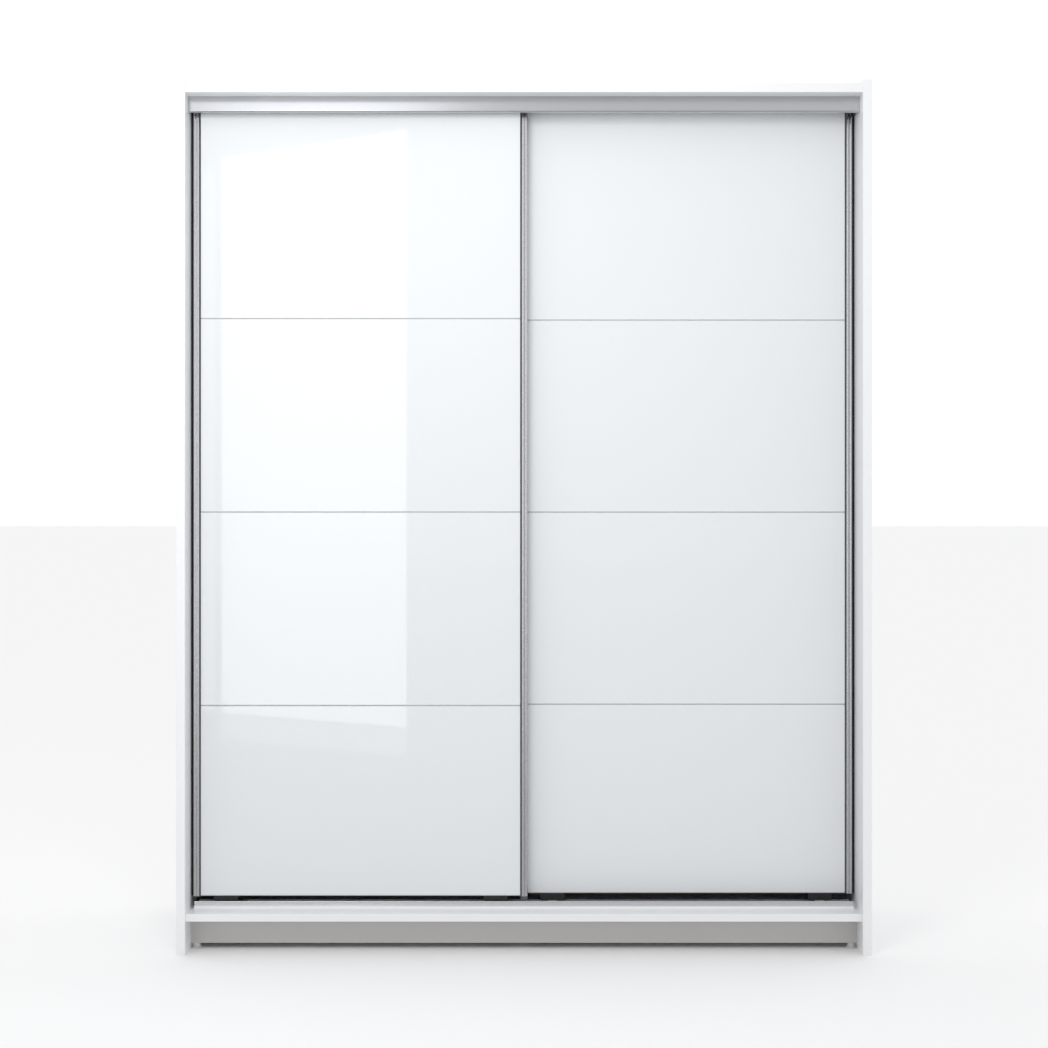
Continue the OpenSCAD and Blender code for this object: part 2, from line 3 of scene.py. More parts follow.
import bmesh
import bpy
import numpy as np
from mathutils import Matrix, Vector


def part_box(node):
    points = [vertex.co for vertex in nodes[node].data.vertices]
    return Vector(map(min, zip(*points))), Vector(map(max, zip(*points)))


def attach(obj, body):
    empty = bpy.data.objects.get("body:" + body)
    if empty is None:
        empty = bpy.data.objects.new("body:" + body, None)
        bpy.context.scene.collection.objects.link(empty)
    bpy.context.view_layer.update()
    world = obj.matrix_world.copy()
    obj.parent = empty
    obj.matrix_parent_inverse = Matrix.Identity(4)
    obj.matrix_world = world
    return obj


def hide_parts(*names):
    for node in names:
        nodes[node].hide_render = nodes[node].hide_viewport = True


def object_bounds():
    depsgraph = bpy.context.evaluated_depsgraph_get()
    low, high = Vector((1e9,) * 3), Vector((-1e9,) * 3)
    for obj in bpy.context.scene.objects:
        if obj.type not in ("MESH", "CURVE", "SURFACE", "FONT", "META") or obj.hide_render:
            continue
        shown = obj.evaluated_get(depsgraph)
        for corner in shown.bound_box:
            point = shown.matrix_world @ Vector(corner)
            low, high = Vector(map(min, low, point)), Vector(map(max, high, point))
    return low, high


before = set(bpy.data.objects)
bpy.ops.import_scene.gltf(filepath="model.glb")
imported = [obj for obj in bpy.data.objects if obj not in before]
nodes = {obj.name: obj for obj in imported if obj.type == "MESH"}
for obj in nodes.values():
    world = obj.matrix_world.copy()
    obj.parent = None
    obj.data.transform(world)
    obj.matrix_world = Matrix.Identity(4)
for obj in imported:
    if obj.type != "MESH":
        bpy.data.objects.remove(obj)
cad_low, cad_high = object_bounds()
mm = 0.001

# ---------------------------------------------------------------- studio
# A pale floor in a white room, a little brighter at the sides and dimmer in front, with one soft light high
# in front. A tall window stands behind the camera to the left and shows only in gloss, on glass and metal.
scene = bpy.context.scene
scene.view_settings.view_transform = "Standard"

camera_data = bpy.data.cameras.new("camera")
camera_data.sensor_width = 36.0
camera_data.lens = 63.3
camera = bpy.data.objects.new("camera", camera_data)
camera_distance = 4.5
eye_share = 0.4925
camera_height = eye_share * cad_high.z
camera.location = (0.0, cad_low.y - camera_distance, camera_height)
camera.rotation_euler = (math.pi / 2, 0.0, 0.0)
scene.collection.objects.link(camera)
scene.camera = camera

# The room's tone by height, from straight down (0) to straight up (1), then by how much its sides and its
# front differ from the rest, and where along the axis each of those changes starts and is complete
room_stops = [(0.0, 0.80), (0.30, 0.60), (0.409, 0.60), (0.4095, 0.66), (0.489, 0.80), (0.490, 1.03),
              (0.72, 1.06), (1.0, 1.06)]
right_wall_gain = 0.28
left_wall_gain = 0.12
front_wall_gain = -0.26
side_wall_start, side_wall_full = 0.35, 0.95
front_wall_start, front_wall_full = 0.1, -0.3
cool_tint = 1.006
world = bpy.data.worlds.new("room")
world.use_nodes = True
scene.world = world
room = world.node_tree
direction = room.nodes.new("ShaderNodeTexCoord")
split = room.nodes.new("ShaderNodeSeparateXYZ")
room.links.new(direction.outputs["Generated"], split.inputs[0])


def room_range(source, start, end, gain):
    """A smooth step from 1 to 1 + gain as the source goes from start to end."""
    step = room.nodes.new("ShaderNodeMapRange")
    step.interpolation_type = "SMOOTHSTEP"
    step.inputs["From Min"].default_value = start
    step.inputs["From Max"].default_value = end
    step.inputs["To Min"].default_value = 1.0
    step.inputs["To Max"].default_value = 1.0 + gain
    room.links.new(source, step.inputs["Value"])
    return step.outputs["Result"]


heights = room.nodes.new("ShaderNodeValToRGB")
rescale = room.nodes.new("ShaderNodeMapRange")
rescale.inputs["From Min"].default_value = -1.0
room.links.new(split.outputs["Z"], rescale.inputs["Value"])
room.links.new(rescale.outputs["Result"], heights.inputs["Fac"])
while len(heights.color_ramp.elements) < len(room_stops):
    heights.color_ramp.elements.new(0.5)
for stop, (place, tone) in zip(heights.color_ramp.elements, room_stops):
    stop.position = place
    stop.color = (tone, tone, tone * cool_tint, 1.0)
room.links.new(heights.outputs["Color"], room.nodes["Background"].inputs["Color"])
room_gain = room_range(split.outputs["Y"], front_wall_start, front_wall_full, front_wall_gain)
for axis_end, gain in ((1.0, right_wall_gain), (-1.0, left_wall_gain)):
    product = room.nodes.new("ShaderNodeMath")
    product.operation = "MULTIPLY"
    side_gain = room_range(split.outputs["X"], side_wall_start * axis_end, side_wall_full * axis_end, gain)
    room.links.new(room_gain, product.inputs[0])
    room.links.new(side_gain, product.inputs[1])
    room_gain = product.outputs[0]
room.links.new(room_gain, room.nodes["Background"].inputs["Strength"])

softbox_side = 0.9
softbox_place = (-0.45, cad_low.y - 1.74, 2.15)
softbox_data = bpy.data.lights.new("front_softbox", "AREA")
softbox_data.shape = "RECTANGLE"
softbox_data.size, softbox_data.size_y = softbox_side, softbox_side
softbox_data.energy = 15.0
softbox = bpy.data.objects.new("front_softbox", softbox_data)
softbox.location = softbox_place
softbox.rotation_euler = (math.pi / 2, 0.0, 0.0)
softbox.visible_glossy = False
softbox.visible_camera = False
scene.collection.objects.link(softbox)


def flat_quad(name, corners):
    """A single face through four corners, in order round its edge."""
    mesh = bpy.data.meshes.new(name)
    mesh.from_pydata([tuple(c) for c in corners], [], [(0, 1, 2, 3)])
    mesh.update()
    quad = bpy.data.objects.new(name, mesh)
    scene.collection.objects.link(quad)
    return quad


def new_material(name):
    """A material with a Principled shader, its node tree and that shader."""
    material = bpy.data.materials.new(name)
    material.use_nodes = True
    return material, material.node_tree, material.node_tree.nodes["Principled BSDF"]


floor_reach = 900.0
floor = flat_quad("studio_floor", [(-floor_reach, -floor_reach, 0), (floor_reach, -floor_reach, 0),
                                   (floor_reach, floor_reach, 0), (-floor_reach, floor_reach, 0)])
floor_material, _, floor_shader = new_material("pale_floor")
floor_shader.inputs["Base Color"].default_value = (0.93, 0.93, 0.93, 1.0)
floor_shader.inputs["Roughness"].default_value = 0.9
floor_shader.inputs["Specular IOR Level"].default_value = 0.0
floor.data.materials.append(floor_material)
floor.visible_glossy = False

# Upright bright panels of the window wall: ends of each as (x, y), then its foot, its head and its strength
window_panels = [
    ("window_main", (-1.591, -5.347), (-0.574, -4.646), 0.06, 2.98, 3.0),
    ("window_side", (-1.705, -5.425), (-1.632, -5.374), 0.06, 2.93, 1.6),
    ("window_sill", (-1.591, -5.347), (-0.574, -4.646), -0.08, 0.05, 1.2),
    ("window_head", (-1.75, -5.46), (-0.42, -4.54), 3.20, 5.6, 1.9),
]
daylight = (0.97, 0.99, 1.0, 1.0)
for name, near, far, foot, head, strength in window_panels:
    panel = flat_quad(name, [(*near, foot), (*far, foot), (*far, head), (*near, head)])
    panel_material = bpy.data.materials.new(name)
    panel_material.use_nodes = True
    glow = panel_material.node_tree.nodes.new("ShaderNodeEmission")
    glow.inputs["Color"].default_value = daylight
    glow.inputs["Strength"].default_value = strength
    output = panel_material.node_tree.nodes["Material Output"]
    panel_material.node_tree.links.new(glow.outputs[0], output.inputs["Surface"])
    panel.data.materials.append(panel_material)
    panel.visible_camera = False
    panel.visible_diffuse = False
    panel.visible_shadow = False

# ---------------------------------------------------------------- side panels and the other white boards
# Chipboard faced with satin white melamine foil, its front edge closed by a rounded ABS band that is glued
# on. The top and bottom panels hang between the side panels on cams; the shelves lie loose on pins.


def noise_on_object(tree, scale, detail, stretch):
    """Noise on object coordinates, stretched along the axes."""
    place = tree.nodes.new("ShaderNodeTexCoord")
    mapping = tree.nodes.new("ShaderNodeMapping")
    mapping.inputs["Scale"].default_value = stretch
    noise = tree.nodes.new("ShaderNodeTexNoise")
    noise.inputs["Scale"].default_value = scale
    noise.inputs["Detail"].default_value = detail
    tree.links.new(place.outputs["Object"], mapping.inputs["Vector"])
    tree.links.new(mapping.outputs["Vector"], noise.inputs["Vector"])
    return noise.outputs["Fac"]


def add_bump(tree, shader, scale, distance, strength, stretch=(1.0, 1.0, 1.0), below=None):
    """Noise as height; `below` is a bump that this one lies on."""
    bump = tree.nodes.new("ShaderNodeBump")
    bump.inputs["Strength"].default_value = strength
    bump.inputs["Distance"].default_value = distance
    tree.links.new(noise_on_object(tree, scale, 3.0, stretch), bump.inputs["Height"])
    if below is not None:
        tree.links.new(below.outputs["Normal"], bump.inputs["Normal"])
    tree.links.new(bump.outputs["Normal"], shader.inputs["Normal"])
    return bump


def vary(tree, socket, scale, low, high, stretch=(1.0, 1.0, 1.0)):
    """Drives a number or colour socket by soft noise between two values."""
    ramp = tree.nodes.new("ShaderNodeValToRGB")
    tree.links.new(noise_on_object(tree, scale, 2.0, stretch), ramp.inputs["Fac"])
    for element, end, tone in zip(ramp.color_ramp.elements, (0.3, 0.7), (low, high)):
        element.position = end
        element.color = (*tone, 1.0) if isinstance(tone, tuple) else (tone, tone, tone, 1.0)
    tree.links.new(ramp.outputs["Color"], socket)
    return ramp


def shade_of(tone, factor):
    """The colour made darker or lighter by a factor."""
    return tuple(factor * c for c in tone)


def paint(material, *names):
    """Gives CAD nodes this material."""
    for name in names:
        nodes[name].data.materials.clear()
        nodes[name].data.materials.append(material)


def melamine(name, tone, band_joint_y):
    """Satin foil with a pearl grain, darker within a hairline of the depth where the edge band meets the
    face."""
    joint_half = 0.08 * mm
    joint_shade = 0.72
    material, tree, shader = new_material(name)
    shader.inputs["IOR"].default_value = 1.48
    vary(tree, shader.inputs["Roughness"], 22.0, 0.34, 0.42)
    tint = vary(tree, shader.inputs["Base Color"], 2.5, shade_of(tone, 0.985), tone)
    peel = add_bump(tree, shader, 240.0, 0.05 * mm, 0.12)
    add_bump(tree, shader, 1500.0, 0.02 * mm, 0.10, below=peel)
    place = tree.nodes.new("ShaderNodeTexCoord")
    axes = tree.nodes.new("ShaderNodeSeparateXYZ")
    near = tree.nodes.new("ShaderNodeMath")
    near.operation = "COMPARE"
    near.inputs[1].default_value = band_joint_y
    near.inputs[2].default_value = joint_half
    darker = tree.nodes.new("ShaderNodeMix")
    darker.data_type = "RGBA"
    darker.inputs["B"].default_value = (*shade_of(tone, joint_shade), 1.0)
    tree.links.new(place.outputs["Object"], axes.inputs[0])
    tree.links.new(axes.outputs["Y"], near.inputs[0])
    tree.links.new(near.outputs[0], darker.inputs["Factor"])
    tree.links.new(tint.outputs["Color"], darker.inputs["A"])
    tree.links.new(darker.outputs["Result"], shader.inputs["Base Color"])
    return material


board_white = (0.865, 0.875, 0.885)
band_depth = 1.3 * mm
front_board = melamine("white_board", board_white, cad_low.y + band_depth)
paint(front_board, "side_panel_left", "side_panel_right", "top_panel")
shelf_nodes = ["hat_shelf", "shelf_lower", "shelf_middle", "shelf_upper"]
for board, board_nodes in (("bottom_panel", ["bottom_panel"]), ("centre_partition", ["centre_partition"]),
                           ("hat_shelf", shelf_nodes)):
    paint(melamine(board + "_foil", board_white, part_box(board)[0].y + band_depth), *board_nodes)

# ---------------------------------------------------------------- plinth
# Grey foiled boards on edge, set back for the toes, with a cross member under the partition. They have no
# edge band, so the joint line is put at the wardrobe's front plane, off all three of them.
plinth_grey = (0.58, 0.565, 0.555)
paint(melamine("plinth_foil", plinth_grey, cad_low.y), "plinth_front", "plinth_rear", "plinth_brace")

# ---------------------------------------------------------------- hardboard back
# Two sheets of 3 mm hardboard, lacquered white on both faces and nailed into the rebates. The lacquer is
# thin, so the pressed fibres under it leave a fine roughness.
hardboard, tree, shader = new_material("white_hardboard")
shader.inputs["IOR"].default_value = 1.45
vary(tree, shader.inputs["Base Color"], 110.0, (0.795, 0.795, 0.785), (0.815, 0.815, 0.805))
vary(tree, shader.inputs["Roughness"], 60.0, 0.5, 0.62)
add_bump(tree, shader, 500.0, 0.08 * mm, 0.25, stretch=(1.0, 1.0, 0.5))
paint(hardboard, "back_panel_left", "back_panel_right")

# ---------------------------------------------------------------- floor glides
# Moulded polypropylene feet, ribbed round the flange for grip. The stepped bore through the middle of each
# is for its fixing screw.


def make_piece(name, body, replaced, vertices, faces, materials, face_materials=None, smooth=True):
    """Puts arrays into a mesh, merges doubles, points the faces outward and ties the piece to its body."""
    weld_distance = 0.002 * mm
    crease_angle = math.radians(32.0)
    mesh = bpy.data.meshes.new(name)
    mesh.from_pydata(vertices.tolist(), [], faces)
    if face_materials is not None:
        mesh.polygons.foreach_set("material_index", np.asarray(face_materials, dtype=np.int32))
    cleaned = bmesh.new()
    cleaned.from_mesh(mesh)
    bmesh.ops.remove_doubles(cleaned, verts=cleaned.verts, dist=weld_distance)
    bmesh.ops.recalc_face_normals(cleaned, faces=cleaned.faces)
    cleaned.to_mesh(mesh)
    cleaned.free()
    for material in materials:
        mesh.materials.append(material)
    if smooth:
        mesh.shade_smooth()
        mesh.set_sharp_from_angle(angle=crease_angle)
    piece = bpy.data.objects.new(name, mesh)
    scene.collection.objects.link(piece)
    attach(piece, body)
    if replaced:
        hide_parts(*replaced)
    return piece


def wrapped_grid(rows, columns, close_rows):
    """Quads of a grid of rows x columns that closes on itself across columns, and across rows if asked."""
    row = np.arange(rows if close_rows else rows - 1)[:, None]
    column = np.arange(columns)[None, :]
    next_row = (row + 1) % rows
    next_column = (column + 1) % columns
    quads = np.stack([row * columns + column, row * columns + next_column,
                      next_row * columns + next_column, next_row * columns + column], axis=-1)
    return quads.reshape(-1, 4).tolist()


def turned(profile, sides, ripple=None):
    """A closed profile of (radius, height) carried round the Z axis; ripple(radius, height, angle) gives
    the change in radius and height at each point."""
    outline = np.asarray(profile, dtype=float)
    angle = np.linspace(0.0, 2 * math.pi, sides, endpoint=False)[None, :]
    radius = np.repeat(outline[:, :1], sides, axis=1)
    height = np.repeat(outline[:, 1:], sides, axis=1)
    if ripple is not None:
        more_radius, more_height = ripple(radius, height, angle)
        radius, height = radius + more_radius, height + more_height
    points = np.stack([radius * np.cos(angle), radius * np.sin(angle), height], axis=-1).reshape(-1, 3)
    return points, wrapped_grid(len(outline), sides, True)


def gather(parts):
    """Joins (points, faces) pairs into one pair, each face's corners moved on by the points before it."""
    offset = 0
    all_points, all_faces = [], []
    for points, faces in parts:
        all_points.append(points)
        all_faces += [[corner + offset for corner in face] for face in faces]
        offset += len(points)
    return np.concatenate(all_points), all_faces


def solids_of(name):
    """The points of each separate solid in a CAD node. Points in the same place count as one, and each takes
    the lowest label among its neighbours until no edge joins two labels."""
    same_place = 0.01 * mm
    mesh = nodes[name].data
    points = np.empty(len(mesh.vertices) * 3)
    mesh.vertices.foreach_get("co", points)
    points = points.reshape(-1, 3)
    ends = np.empty(len(mesh.edges) * 2, dtype=np.int64)
    mesh.edges.foreach_get("vertices", ends)
    _, same = np.unique(np.round(points / same_place).astype(np.int64), axis=0, return_inverse=True)
    same = same.reshape(-1)
    label = np.arange(same.max() + 1)
    first, second = same[ends[0::2]], same[ends[1::2]]
    while True:
        lowest = np.minimum(label[first], label[second])
        np.minimum.at(label, first, lowest)
        np.minimum.at(label, second, lowest)
        label = label[label]
        if (label[first] == label[second]).all():
            break
    owner = label[same]
    return [points[owner == one] for one in np.unique(owner)]


pale_plastic, tree, shader = new_material("glide_plastic")
shader.inputs["IOR"].default_value = 1.49
vary(tree, shader.inputs["Base Color"], 90.0, (0.60, 0.60, 0.59), (0.66, 0.66, 0.65))
vary(tree, shader.inputs["Roughness"], 140.0, 0.38, 0.5)
add_bump(tree, shader, 900.0, 0.03 * mm, 0.3)

glide_ribs = 24
rib_depth = 0.35 * mm
head_bore_r = 4.6 * mm
screw_bore_r = 2.2 * mm
bore_step = 5.0 * mm


def floor_glide(radius, tall):
    """A foot turned about Z from its sole at z = 0: a rounded flange, a narrower stem and the stepped bore.
    On the flange's rim the radius dips by a cosine wave, once for each rib."""
    rim, stem = radius - 0.1 * mm, radius - 4.0 * mm
    profile = [
        (head_bore_r, 0.0), (radius - 2.2 * mm, 0.0), (radius - 0.9 * mm, 0.3 * mm), (rim, 1.2 * mm),
        (rim, 3.2 * mm), (radius - 0.8 * mm, 3.9 * mm), (radius - 3.2 * mm, 4.3 * mm),
        (stem, 5.2 * mm), (stem, tall - 0.4 * mm), (radius - 4.4 * mm, tall),
        (screw_bore_r, tall), (screw_bore_r, bore_step + 0.1 * mm), (head_bore_r, bore_step),
    ]

    def ribs(r, h, angle):
        on_rim = (r > radius - 0.5 * mm) & (h > 1.0 * mm) & (h < 3.5 * mm)
        return np.where(on_rim, -rib_depth * (0.5 - 0.5 * np.cos(glide_ribs * angle)), 0.0), 0.0 * r

    return turned(profile, 4 * glide_ribs, ribs)


glide_parts = []
for solid in solids_of("floor_glides"):
    low, high = solid.min(axis=0), solid.max(axis=0)
    centre = (low + high) / 2
    points, faces = floor_glide((high[0] - low[0]) / 2, high[2] - low[2])
    glide_parts.append((points + [centre[0], centre[1], low[2]], faces))
points, faces = gather(glide_parts)
make_piece("ribbed_floor_glides", "carcass", ["floor_glides"], points, faces, [pale_plastic])

# ---------------------------------------------------------------- tracks and fascia
# Extruded aluminium, anodised satin silver: faint lines run along each profile from the die. The fascia is
# glossier than the tracks behind it, and its darker silver is painted shade.


def anodised(name, tone, roughness, along):
    """Metal with fine lines along one axis ("X" or "Z"): noise that is hardly scaled along it, in colour,
    roughness and height."""
    die_line = 0.0003
    uneven = 0.03
    material, tree, shader = new_material(name)
    shader.inputs["Metallic"].default_value = 1.0
    stretch = (die_line, 1.0, 1.0) if along == "X" else (1.0, 1.0, die_line)
    vary(tree, shader.inputs["Base Color"], 700.0, shade_of(tone, 0.975), tone, stretch)
    vary(tree, shader.inputs["Roughness"], 1100.0, roughness - uneven, roughness + uneven, stretch)
    add_bump(tree, shader, 1800.0, 0.004 * mm, 0.10, stretch)
    return material


silver = (0.70, 0.71, 0.73)
# The fascia's silver is darker than the tracks' as painted shade.
fascia_silver_shaded = (0.58, 0.59, 0.61)
silver_across = anodised("anodised_across", silver, 0.26, "X")
# The stiles take a darker copy of the same silver: painted shade.
silver_upright_shaded = anodised("anodised_upright_shaded", shade_of(silver, 0.88), 0.22, "Z")
paint(silver_across, "top_track")

# The sloped foot of the floor track's lip is lacquered white, like the board it lies on
floor_track_metal = anodised("anodised_floor_track", silver, 0.26, "X")
tree = floor_track_metal.node_tree
metal = tree.nodes["Principled BSDF"]
lacquer = tree.nodes.new("ShaderNodeBsdfPrincipled")
vary(tree, lacquer.inputs["Base Color"], 2.5, shade_of(board_white, 0.99), board_white)
vary(tree, lacquer.inputs["Roughness"], 60.0, 0.30, 0.38)
add_bump(tree, lacquer, 900.0, 0.01 * mm, 0.10)
track_place = tree.nodes.new("ShaderNodeTexCoord")
track_axes = tree.nodes.new("ShaderNodeSeparateXYZ")
before_lip = tree.nodes.new("ShaderNodeMath")
before_lip.operation = "LESS_THAN"
foot_depth = 6 * mm
lacquer_margin = 0.2 * mm
before_lip.inputs[1].default_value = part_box("bottom_track")[0].y + foot_depth - lacquer_margin
layers = tree.nodes.new("ShaderNodeMixShader")
tree.links.new(track_place.outputs["Object"], track_axes.inputs[0])
tree.links.new(track_axes.outputs["Y"], before_lip.inputs[0])
tree.links.new(before_lip.outputs[0], layers.inputs[0])
tree.links.new(metal.outputs[0], layers.inputs[1])
tree.links.new(lacquer.outputs[0], layers.inputs[2])
tree.links.new(layers.outputs[0], tree.nodes["Material Output"].inputs["Surface"])
paint(floor_track_metal, "bottom_track")
paint(anodised("anodised_fascia_shaded", fascia_silver_shaded, 0.20, "X"), "track_fascia")

# ---------------------------------------------------------------- door stops and gaskets
# Dark grey rubber: blocks wedged into the ends of the top track, and lip seals round the glass. Both are
# matt, with the slightly grainy skin of moulded rubber.
rubber, tree, shader = new_material("grey_rubber")
vary(tree, shader.inputs["Base Color"], 300.0, (0.055, 0.055, 0.058), (0.085, 0.085, 0.088))
vary(tree, shader.inputs["Roughness"], 400.0, 0.55, 0.75)
add_bump(tree, shader, 1600.0, 0.04 * mm, 0.35)
paint(rubber, "door_stops", "door_left_gaskets", "door_right_gaskets")

# ---------------------------------------------------------------- shelf pins
# Nickelled steel pins turned from bar and pushed halfway into the boards, each with chamfered ends and a
# shallow groove beside its middle.
zinc, tree, shader = new_material("zinc_steel")
shader.inputs["Metallic"].default_value = 1.0
vary(tree, shader.inputs["Base Color"], 260.0, (0.60, 0.61, 0.63), (0.74, 0.75, 0.76))
vary(tree, shader.inputs["Roughness"], 420.0, 0.26, 0.42)
add_bump(tree, shader, 1300.0, 0.02 * mm, 0.3)


def axis_frame(points):
    """Centre line of a long round solid: its thick end, its other end and the longest radius at either."""
    end_zone = 0.3 * mm
    low, high = points.min(axis=0), points.max(axis=0)
    axis = int(np.argmax(high - low))
    across = [k for k in range(3) if k != axis]
    middle = (low + high) / 2
    spread = np.linalg.norm(points[:, across] - middle[across], axis=1)
    reach = [spread[np.abs(points[:, axis] - end) < end_zone].max() for end in (low[axis], high[axis])]
    start, stop = middle.copy(), middle.copy()
    thick_first = reach[0] >= reach[1]
    start[axis], stop[axis] = (low[axis], high[axis]) if thick_first else (high[axis], low[axis])
    return start, stop, max(reach)


def set_along(points, start, stop):
    """Turns points built on +Z from the origin so that they run from start towards stop."""
    along = (stop - start) / np.linalg.norm(stop - start)
    helper = np.array([0.0, 0.0, 1.0]) if abs(along[2]) < 0.9 else np.array([1.0, 0.0, 0.0])
    side = np.cross(helper, along)
    side /= np.linalg.norm(side)
    basis = np.stack([side, np.cross(along, side), along])
    return points @ basis + start


pin_sides = 20
groove_depth = 0.35 * mm
pin_parts = []
for solid in solids_of("shelf_pins"):
    start, stop, pin_r = axis_frame(solid)
    pin_l = np.linalg.norm(stop - start)
    chamfer = pin_r * (1.0 - math.cos(math.pi / 4))
    middle = pin_l / 2
    pin_profile = [
        (0.0, 0.0), (pin_r - chamfer, 0.0), (pin_r, chamfer), (pin_r, middle - 1.0 * mm),
        (pin_r - groove_depth, middle - 0.8 * mm), (pin_r - groove_depth, middle - 0.4 * mm),
        (pin_r, middle - 0.2 * mm), (pin_r, pin_l - chamfer), (pin_r - chamfer, pin_l), (0.0, pin_l),
    ]
    points, faces = turned(pin_profile, pin_sides)
    pin_parts.append((set_along(points, start, stop), faces))
points, faces = gather(pin_parts)
make_piece("nickelled_shelf_pins", "carcass", ["shelf_pins"], points, faces, [zinc])

# ---------------------------------------------------------------- hanging rail and brackets
# Chromed round steel tube in two die-cast cups. The wall angles are pressed from zinc-plated steel, and the
# cams and bolts that join the boards have the same finish.
chrome, tree, shader = new_material("chromed_tube")
shader.inputs["Metallic"].default_value = 1.0
vary(tree, shader.inputs["Base Color"], 120.0, (0.80, 0.81, 0.82), (0.86, 0.87, 0.88))
vary(tree, shader.inputs["Roughness"], 700.0, 0.06, 0.12, (0.02, 1.0, 1.0))
add_bump(tree, shader, 1500.0, 0.01 * mm, 0.1, (0.01, 1.0, 1.0))
paint(chrome, "hanging_rail")
paint(zinc, "rail_brackets", "wall_brackets", "cam_fittings")

# ---------------------------------------------------------------- screws and nails
# Zinc-plated screws with a cross recess in a domed head and a rolled thread, and nails with plain low heads
# that hold the back panels.
screw_head_h = 2.0 * mm
nail_head_h = 1.1 * mm
screw_pitch = 1.6 * mm
nail_pitch = 3.0 * mm
cross_share = 0.62
shank_share = 0.53


def fastener(head_r, head_h, shank_r, length, recess_r, pitch):
    """A head, a shank and a point turned about Z from z = 0: rings of (radius, height), the head's top
    lowered by a cross whose arms fade towards their ends, the shank's radius waved once each pitch."""
    dome_share = 0.28
    root_share = 0.84
    arm_share = 0.22
    cross_depth = 0.75 * head_h
    cross_fade = 0.6
    no_recess = 1e-9
    sides = 24
    dome = np.linspace(0.0, 1.0, 9)
    top_r = head_r * dome
    top_h = dome_share * head_h * dome ** 2
    wave_h = np.arange(head_h + 0.5 * pitch, length - 1.2 * shank_r, 0.5 * pitch)
    wave_r = shank_r * np.where(np.arange(len(wave_h)) % 2 == 0, root_share, 1.0)
    radius = np.concatenate([top_r, [head_r, shank_r], wave_r, [0.0]])
    height = np.concatenate([top_h, [head_h * 0.9, head_h], wave_h, [length]])
    angle = np.linspace(0.0, 2 * math.pi, sides, endpoint=False)[None, :]
    r = np.repeat(radius[:, None], sides, axis=1)
    h = np.repeat(height[:, None], sides, axis=1)
    arm = np.minimum(np.abs(r * np.sin(angle)), np.abs(r * np.cos(angle))) < arm_share * recess_r
    in_cross = arm & (r < recess_r) & (np.arange(len(radius))[:, None] < len(dome))
    sink = cross_depth * (1.0 - cross_fade * r / max(recess_r, no_recess))
    h = h + np.where(in_cross, sink, 0.0)
    points = np.stack([r * np.cos(angle), r * np.sin(angle), h], axis=-1).reshape(-1, 3)
    return points, wrapped_grid(len(radius), sides, False)


def fasten(name, body, replaced, recess, pitch):
    """Builds the detailed fasteners where the CAD node has its plain ones."""
    parts = []
    for solid in solids_of(replaced):
        start, stop, head_r = axis_frame(solid)
        length = np.linalg.norm(stop - start)
        head_h = screw_head_h if recess else nail_head_h
        points, faces = fastener(head_r, head_h, shank_share * head_r, length, recess * head_r, pitch)
        parts.append((set_along(points, start, stop), faces))
    points, faces = gather(parts)
    make_piece(name, body, [replaced], points, faces, [zinc])


fasten("cross_head_screws", "carcass", "panel_screws", cross_share, screw_pitch)
fasten("ring_head_nails", "carcass", "back_panel_nails", 0.0, nail_pitch)

# ---------------------------------------------------------------- door frames
# Two anodised stiles with a pair of round beads, tied by box rails that are screwed on from the edges.
# A light white board between them backs the glass.
door_sides = ("left", "right")
for side in door_sides:
    stem = f"door_{side}_"
    # The stiles' darker silver is painted shade.
    paint(silver_upright_shaded, stem + "outer_stile", stem + "inner_stile")
    paint(silver_across, stem + "top_rail", stem + "bottom_rail")
    paint(front_board, stem + "backing_board")
    fasten(stem + "cross_head_screws", f"door_{side}", stem + "frame_screws", cross_share, screw_pitch)

# ---------------------------------------------------------------- door glass
# Four panes of 4 mm float glass on each door, painted white on the back and bonded to the board. Their
# edges are ground to a small arris, which shows the green of the glass.
glass_white = (0.775, 0.805, 0.825)
glass_edge = (0.68, 0.725, 0.73)
arris = 0.7 * mm
pane_corner = 1.2 * mm
panes_per_door = 4

painted_glass, tree, shader = new_material("painted_glass")
shader.inputs["IOR"].default_value = 1.52
vary(tree, shader.inputs["Base Color"], 1.3, shade_of(glass_white, 0.992), glass_white)
vary(tree, shader.inputs["Roughness"], 7.0, 0.012, 0.03)
add_bump(tree, shader, 3.0, 0.01 * mm, 0.25, (1.0, 1.0, 0.2))
ground_edge, tree, shader = new_material("ground_glass_edge")
shader.inputs["IOR"].default_value = 1.52
vary(tree, shader.inputs["Base Color"], 400.0, shade_of(glass_edge, 0.9), glass_edge)
vary(tree, shader.inputs["Roughness"], 900.0, 0.25, 0.45)


def pane_outline(low, high, inset):
    """Points round a rectangle in X and Z, moved in by an inset: a quarter circle about each corner's
    centre, in turn."""
    quarter = np.linspace(0.0, math.pi / 2, 5)
    corners = [(high.x, high.z, 0.0), (low.x, high.z, 1.0), (low.x, low.z, 2.0), (high.x, low.z, 3.0)]
    points = []
    for x, z, turn in corners:
        swing = quarter + turn * math.pi / 2
        toward_x = 1.0 if x == high.x else -1.0
        toward_z = 1.0 if z == high.z else -1.0
        centre = (x - toward_x * (pane_corner + inset), z - toward_z * (pane_corner + inset))
        points.append(np.stack([centre[0] + pane_corner * np.cos(swing),
                                centre[1] + pane_corner * np.sin(swing)], axis=1))
    return np.concatenate(points)


